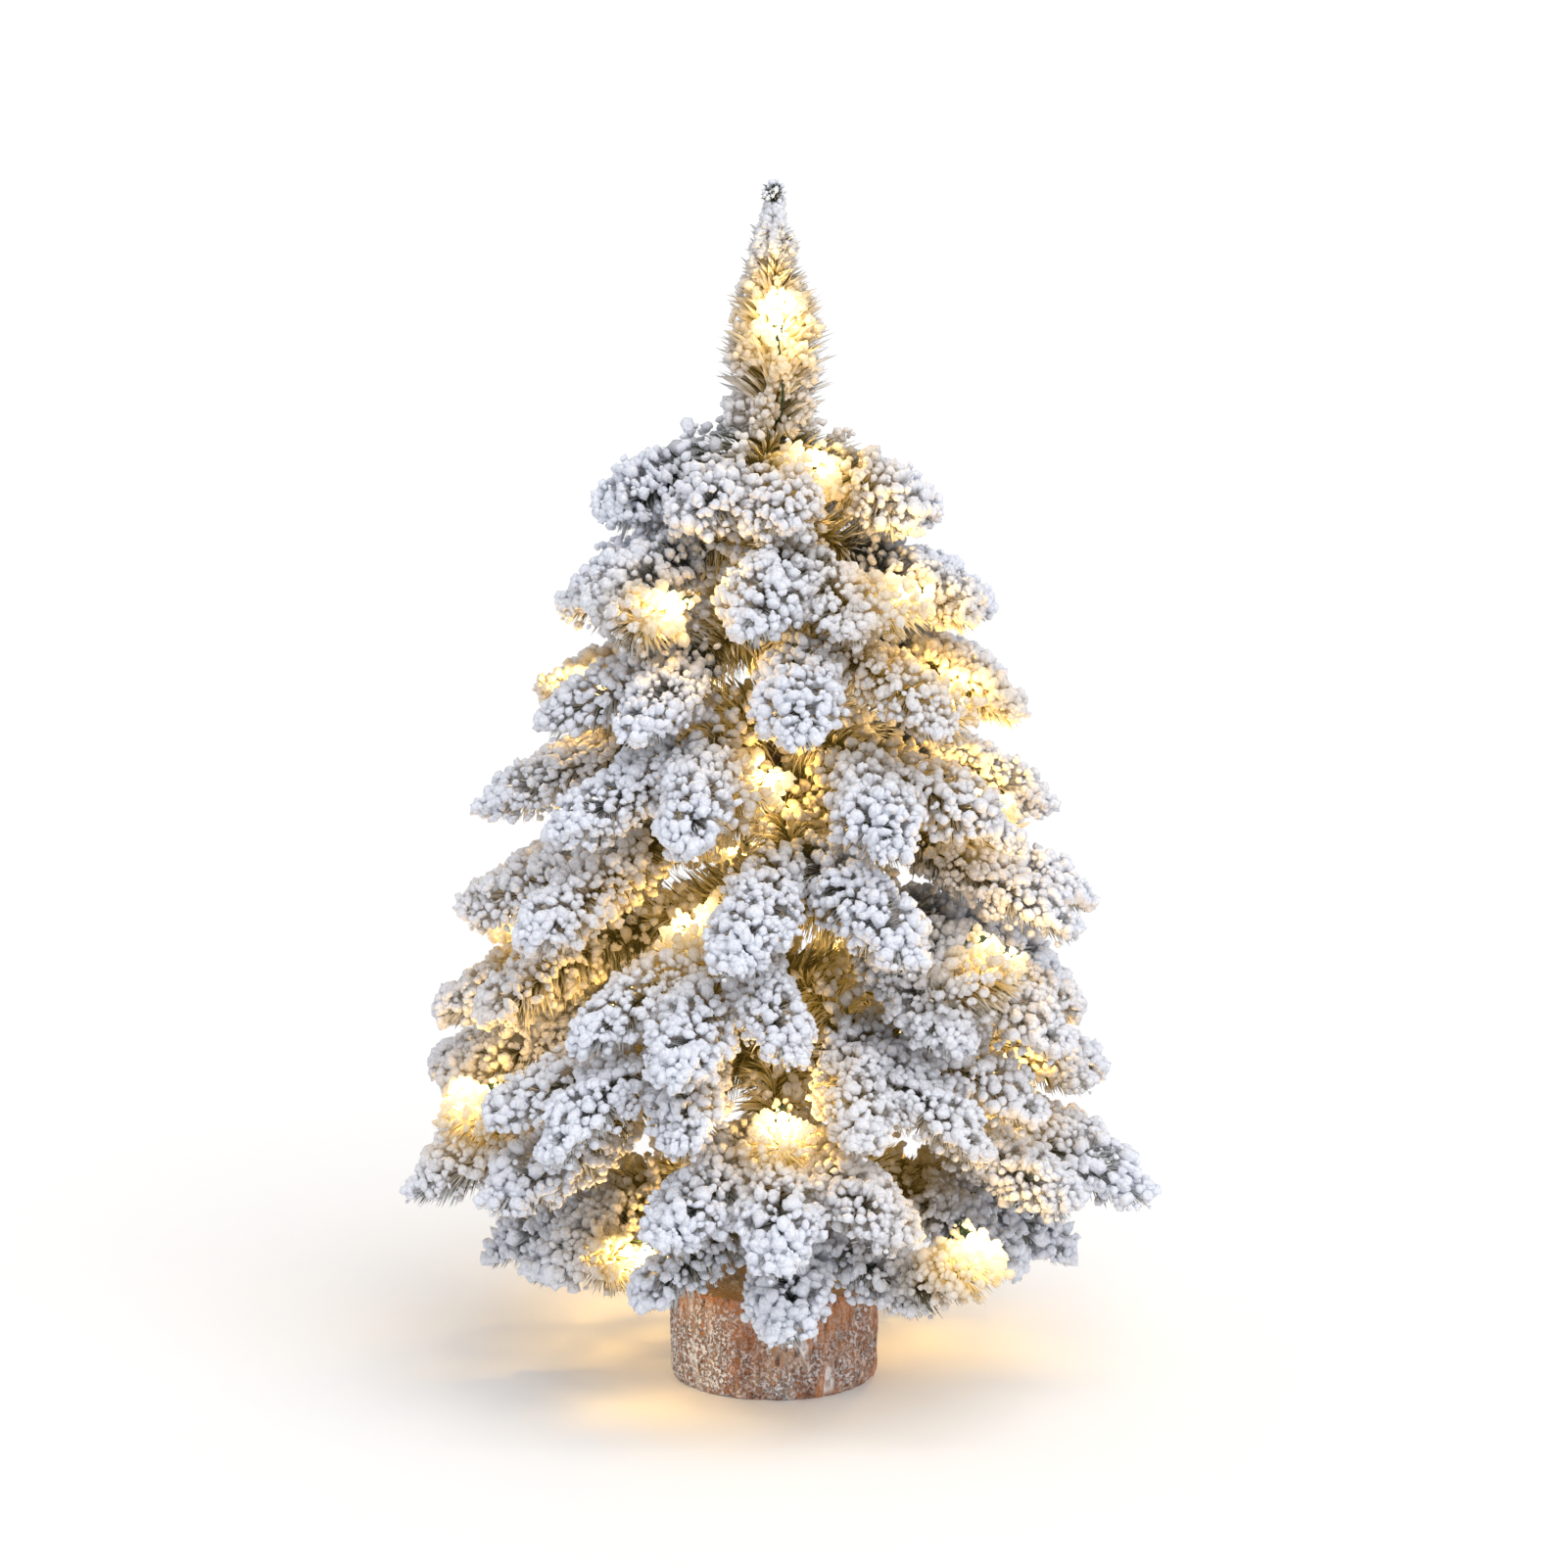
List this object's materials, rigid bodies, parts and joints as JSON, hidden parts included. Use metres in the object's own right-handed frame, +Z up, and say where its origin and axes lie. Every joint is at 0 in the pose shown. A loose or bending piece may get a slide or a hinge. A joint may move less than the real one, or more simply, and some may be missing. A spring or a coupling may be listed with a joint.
{
  "type": "artificial tabletop tree",
  "caption": "Free-standing flocked artificial tree with lights, bendable branches and leader, on a bark-covered log slice that holds its batteries.",
  "frame": {"origin": "centre of the log slice's flat underside, on the surface that the tree stands on", "axes": "+Z up along the trunk to the tip, -Y towards the viewer in front, +X to the viewer's right"},
  "size_m": [0.3616, 0.3612, 0.6],
  "materials": {
    "flocked_needles": "matte",
    "bark_wood": "matte",
    "trunk_tape": "matte",
    "steel": "satin",
    "wire_green": "satin",
    "warm_led": "gloss",
    "black_plastic": "satin",
    "switch_plastic": "satin",
    "cell_metal": "satin",
    "plated_steel": "polished",
    "circuit_board": "satin"
  },
  "bodies": {
    "stand": {"base_log": "bark_wood", "trunk_core": "steel", "trunk_tape": "trunk_tape", "battery_box": "black_plastic", "battery_cells": "cell_metal", "battery_springs": "plated_steel", "contact_plates": "plated_steel", "control_board": "circuit_board", "box_screws": "plated_steel", "light_wire": "wire_green", "led_bulbs": "warm_led"},
    "leader": {"leader": "flocked_needles", "leader_bulb": "warm_led"},
    "battery_cover": {"battery_cover": "black_plastic"},
    "power_switch": {"power_switch": "switch_plastic"},
    "row1_branch_1": {"row1_branch_1": "flocked_needles"},
    "row1_branch_2": {"row1_branch_2": "flocked_needles"},
    "row1_branch_3": {"row1_branch_3": "flocked_needles"},
    "row1_branch_4": {"row1_branch_4": "flocked_needles"},
    "row2_branch_1": {"row2_branch_1": "flocked_needles"},
    "row2_branch_2": {"row2_branch_2": "flocked_needles"},
    "row2_branch_3": {"row2_branch_3": "flocked_needles"},
    "row2_branch_4": {"row2_branch_4": "flocked_needles"},
    "row2_branch_5": {"row2_branch_5": "flocked_needles"},
    "row3_branch_1": {"row3_branch_1": "flocked_needles"},
    "row3_branch_2": {"row3_branch_2": "flocked_needles"},
    "row3_branch_3": {"row3_branch_3": "flocked_needles"},
    "row3_branch_4": {"row3_branch_4": "flocked_needles"},
    "row3_branch_5": {"row3_branch_5": "flocked_needles"},
    "row4_branch_1": {"row4_branch_1": "flocked_needles"},
    "row4_branch_2": {"row4_branch_2": "flocked_needles"},
    "row4_branch_3": {"row4_branch_3": "flocked_needles"},
    "row4_branch_4": {"row4_branch_4": "flocked_needles"},
    "row4_branch_5": {"row4_branch_5": "flocked_needles"},
    "row5_branch_1": {"row5_branch_1": "flocked_needles"},
    "row5_branch_2": {"row5_branch_2": "flocked_needles"},
    "row5_branch_3": {"row5_branch_3": "flocked_needles"},
    "row5_branch_4": {"row5_branch_4": "flocked_needles"},
    "row5_branch_5": {"row5_branch_5": "flocked_needles"},
    "row6_branch_1": {"row6_branch_1": "flocked_needles"},
    "row6_branch_2": {"row6_branch_2": "flocked_needles"},
    "row6_branch_3": {"row6_branch_3": "flocked_needles"},
    "row6_branch_4": {"row6_branch_4": "flocked_needles"},
    "row6_branch_5": {"row6_branch_5": "flocked_needles"},
    "row7_branch_1": {"row7_branch_1": "flocked_needles"},
    "row7_branch_2": {"row7_branch_2": "flocked_needles"},
    "row7_branch_3": {"row7_branch_3": "flocked_needles"},
    "row7_branch_4": {"row7_branch_4": "flocked_needles"},
    "row7_branch_5": {"row7_branch_5": "flocked_needles"},
    "row8_branch_1": {"row8_branch_1": "flocked_needles"},
    "row8_branch_2": {"row8_branch_2": "flocked_needles"},
    "row8_branch_3": {"row8_branch_3": "flocked_needles"},
    "row8_branch_4": {"row8_branch_4": "flocked_needles"},
    "row8_branch_5": {"row8_branch_5": "flocked_needles"},
    "row9_branch_1": {"row9_branch_1": "flocked_needles"},
    "row9_branch_2": {"row9_branch_2": "flocked_needles"},
    "row9_branch_3": {"row9_branch_3": "flocked_needles"},
    "row9_branch_4": {"row9_branch_4": "flocked_needles"}
  },
  "joints": [
    {"name": "leader_bend", "type": "hinge", "parent": "stand", "child": "leader", "pos_m": [0, 0, 0.4738], "axis": [0, -1, 0], "range_deg": [-12, 12]},
    {"name": "battery_cover_hinge", "type": "hinge", "parent": "stand", "child": "battery_cover", "pos_m": [-0.0286, 0, 0.00215], "axis": [0, 1, 0], "range_deg": [0, 90]},
    {"name": "power_switch_slide", "type": "slide", "parent": "stand", "child": "power_switch", "axis": [1, 0, 0], "range_m": [0, 0.004]},
    {"name": "row1_branch_1_bend", "type": "hinge", "parent": "stand", "child": "row1_branch_1", "pos_m": [0.00012, -0.0052, 0.11659], "axis": [-0.9997, -0.0236, 0], "range_deg": [-12, 14]},
    {"name": "row1_branch_2_bend", "type": "hinge", "parent": "stand", "child": "row1_branch_2", "pos_m": [0.0052, -0.00003, 0.11693], "axis": [-0.0061, -1, 0], "range_deg": [-12, 14]},
    {"name": "row1_branch_3_bend", "type": "hinge", "parent": "stand", "child": "row1_branch_3", "pos_m": [0.00016, 0.0052, 0.11577], "axis": [0.9995, -0.031, 0], "range_deg": [-12, 14]},
    {"name": "row1_branch_4_bend", "type": "hinge", "parent": "stand", "child": "row1_branch_4", "pos_m": [-0.0052, 0.00016, 0.114], "axis": [0.0316, 0.9995, 0], "range_deg": [-12, 14]},
    {"name": "row2_branch_1_bend", "type": "hinge", "parent": "stand", "child": "row2_branch_1", "pos_m": [0.00006, -0.0052, 0.16319], "axis": [-0.9999, -0.0119, 0], "range_deg": [-12, 8]},
    {"name": "row2_branch_2_bend", "type": "hinge", "parent": "stand", "child": "row2_branch_2", "pos_m": [0.005, -0.00144, 0.16457], "axis": [-0.2772, -0.9608, 0], "range_deg": [-12, 8]},
    {"name": "row2_branch_3_bend", "type": "hinge", "parent": "stand", "child": "row2_branch_3", "pos_m": [0.00294, 0.00429, 0.16629], "axis": [0.8255, -0.5644, 0], "range_deg": [-12, 8]},
    {"name": "row2_branch_4_bend", "type": "hinge", "parent": "stand", "child": "row2_branch_4", "pos_m": [-0.00306, 0.0042, 0.167], "axis": [0.8081, 0.589, 0], "range_deg": [-12, 8]},
    {"name": "row2_branch_5_bend", "type": "hinge", "parent": "stand", "child": "row2_branch_5", "pos_m": [-0.00499, -0.00147, 0.16615], "axis": [-0.2835, 0.959, 0], "range_deg": [-12, 8]},
    {"name": "row3_branch_1_bend", "type": "hinge", "parent": "stand", "child": "row3_branch_1", "pos_m": [0.00291, -0.00431, 0.20809], "axis": [-0.8289, -0.5594, 0], "range_deg": [-7, 8]},
    {"name": "row3_branch_2_bend", "type": "hinge", "parent": "stand", "child": "row3_branch_2", "pos_m": [0.00498, 0.00148, 0.20647], "axis": [0.2855, -0.9584, 0], "range_deg": [-7, 8]},
    {"name": "row3_branch_3_bend", "type": "hinge", "parent": "stand", "child": "row3_branch_3", "pos_m": [-0.00002, 0.0052, 0.20605], "axis": [1, 0.0046, 0], "range_deg": [-7, 8]},
    {"name": "row3_branch_4_bend", "type": "hinge", "parent": "stand", "child": "row3_branch_4", "pos_m": [-0.00499, 0.00146, 0.20716], "axis": [0.2801, 0.96, 0], "range_deg": [-7, 8]},
    {"name": "row3_branch_5_bend", "type": "hinge", "parent": "stand", "child": "row3_branch_5", "pos_m": [-0.00292, -0.0043, 0.20892], "axis": [-0.8276, 0.5614, 0], "range_deg": [-7, 8]},
    {"name": "row4_branch_1_bend", "type": "hinge", "parent": "stand", "child": "row4_branch_1", "pos_m": [-0.00142, -0.005, 0.25273], "axis": [-0.962, 0.2732, 0], "range_deg": [-7, 8]},
    {"name": "row4_branch_2_bend", "type": "hinge", "parent": "stand", "child": "row4_branch_2", "pos_m": [0.00423, -0.00303, 0.25285], "axis": [-0.5821, -0.8131, 0], "range_deg": [-7, 8]},
    {"name": "row4_branch_3_bend", "type": "hinge", "parent": "stand", "child": "row4_branch_3", "pos_m": [0.00425, 0.00299, 0.25152], "axis": [0.5753, -0.8179, 0], "range_deg": [-7, 8]},
    {"name": "row4_branch_4_bend", "type": "hinge", "parent": "stand", "child": "row4_branch_4", "pos_m": [-0.00155, 0.00496, 0.24978], "axis": [0.9547, 0.2976, 0], "range_deg": [-7, 8]},
    {"name": "row4_branch_5_bend", "type": "hinge", "parent": "stand", "child": "row4_branch_5", "pos_m": [-0.0052, -0.00007, 0.249], "axis": [-0.0144, 0.9999, 0], "range_deg": [-7, 8]},
    {"name": "row5_branch_1_bend", "type": "hinge", "parent": "stand", "child": "row5_branch_1", "pos_m": [0.00081, -0.00514, 0.29431], "axis": [-0.9879, -0.1551, 0], "range_deg": [-12, 12]},
    {"name": "row5_branch_2_bend", "type": "hinge", "parent": "stand", "child": "row5_branch_2", "pos_m": [0.00515, -0.00073, 0.29583], "axis": [-0.1397, -0.9902, 0], "range_deg": [-12, 12]},
    {"name": "row5_branch_3_bend", "type": "hinge", "parent": "stand", "child": "row5_branch_3", "pos_m": [0.00232, 0.00465, 0.29747], "axis": [0.8947, -0.4466, 0], "range_deg": [-12, 12]},
    {"name": "row5_branch_4_bend", "type": "hinge", "parent": "stand", "child": "row5_branch_4", "pos_m": [-0.0036, 0.00375, 0.29797], "axis": [0.7214, 0.6925, 0], "range_deg": [-12, 12]},
    {"name": "row5_branch_5_bend", "type": "hinge", "parent": "stand", "child": "row5_branch_5", "pos_m": [-0.00474, -0.00214, 0.29692], "axis": [-0.4117, 0.9113, 0], "range_deg": [-12, 12]},
    {"name": "row6_branch_1_bend", "type": "hinge", "parent": "stand", "child": "row6_branch_1", "pos_m": [-0.00283, -0.00436, 0.33983], "axis": [-0.8387, 0.5446, 0], "range_deg": [-10, 14]},
    {"name": "row6_branch_2_bend", "type": "hinge", "parent": "stand", "child": "row6_branch_2", "pos_m": [0.00333, -0.004, 0.33831], "axis": [-0.7685, -0.6399, 0], "range_deg": [-10, 14]},
    {"name": "row6_branch_3_bend", "type": "hinge", "parent": "stand", "child": "row6_branch_3", "pos_m": [0.00477, 0.00208, 0.33812], "axis": [0.399, -0.9169, 0], "range_deg": [-10, 14]},
    {"name": "row6_branch_4_bend", "type": "hinge", "parent": "stand", "child": "row6_branch_4", "pos_m": [-0.00062, 0.00516, 0.3394], "axis": [0.9929, 0.1192, 0], "range_deg": [-10, 14]},
    {"name": "row6_branch_5_bend", "type": "hinge", "parent": "stand", "child": "row6_branch_5", "pos_m": [-0.0051, 0.00102, 0.34115], "axis": [0.1954, 0.9807, 0], "range_deg": [-10, 14]},
    {"name": "row7_branch_1_bend", "type": "hinge", "parent": "stand", "child": "row7_branch_1", "pos_m": [0.00202, -0.00479, 0.38685], "axis": [-0.921, -0.3895, 0], "range_deg": [-13, 18]},
    {"name": "row7_branch_2_bend", "type": "hinge", "parent": "stand", "child": "row7_branch_2", "pos_m": [0.00519, 0.00029, 0.38673], "axis": [0.055, -0.9985, 0], "range_deg": [-13, 18]},
    {"name": "row7_branch_3_bend", "type": "hinge", "parent": "stand", "child": "row7_branch_3", "pos_m": [0.00143, 0.005, 0.38526], "axis": [0.9615, -0.2748, 0], "range_deg": [-13, 18]},
    {"name": "row7_branch_4_bend", "type": "hinge", "parent": "stand", "child": "row7_branch_4", "pos_m": [-0.00434, 0.00287, 0.38359], "axis": [0.5524, 0.8336, 0], "range_deg": [-13, 18]},
    {"name": "row7_branch_5_bend", "type": "hinge", "parent": "stand", "child": "row7_branch_5", "pos_m": [-0.00398, -0.00335, 0.38302], "axis": [-0.6439, 0.7651, 0], "range_deg": [-13, 18]},
    {"name": "row8_branch_1_bend", "type": "hinge", "parent": "stand", "child": "row8_branch_1", "pos_m": [0.00056, -0.00517, 0.42847], "axis": [-0.9943, -0.1071, 0], "range_deg": [-15, 16]},
    {"name": "row8_branch_2_bend", "type": "hinge", "parent": "stand", "child": "row8_branch_2", "pos_m": [0.0051, -0.00099, 0.43009], "axis": [-0.1908, -0.9816, 0], "range_deg": [-15, 16]},
    {"name": "row8_branch_3_bend", "type": "hinge", "parent": "stand", "child": "row8_branch_3", "pos_m": [0.00258, 0.00452, 0.43164], "axis": [0.8685, -0.4957, 0], "range_deg": [-15, 16]},
    {"name": "row8_branch_4_bend", "type": "hinge", "parent": "stand", "child": "row8_branch_4", "pos_m": [-0.00338, 0.00395, 0.43191], "axis": [0.7596, 0.6503, 0], "range_deg": [-15, 16]},
    {"name": "row8_branch_5_bend", "type": "hinge", "parent": "stand", "child": "row8_branch_5", "pos_m": [-0.00485, -0.00188, 0.43068], "axis": [-0.3614, 0.9324, 0], "range_deg": [-15, 16]},
    {"name": "row9_branch_1_bend", "type": "hinge", "parent": "stand", "child": "row9_branch_1", "pos_m": [-0.00117, -0.00507, 0.46957], "axis": [-0.9744, 0.2247, 0], "range_deg": [-13, 20]},
    {"name": "row9_branch_2_bend", "type": "hinge", "parent": "stand", "child": "row9_branch_2", "pos_m": [0.00509, -0.00108, 0.46819], "axis": [-0.2079, -0.9781, 0], "range_deg": [-13, 20]},
    {"name": "row9_branch_3_bend", "type": "hinge", "parent": "stand", "child": "row9_branch_3", "pos_m": [0.00092, 0.00512, 0.46823], "axis": [0.9841, -0.1777, 0], "range_deg": [-13, 20]},
    {"name": "row9_branch_4_bend", "type": "hinge", "parent": "stand", "child": "row9_branch_4", "pos_m": [-0.00513, 0.00082, 0.46965], "axis": [0.1576, 0.9875, 0], "range_deg": [-13, 20]}
  ]
}
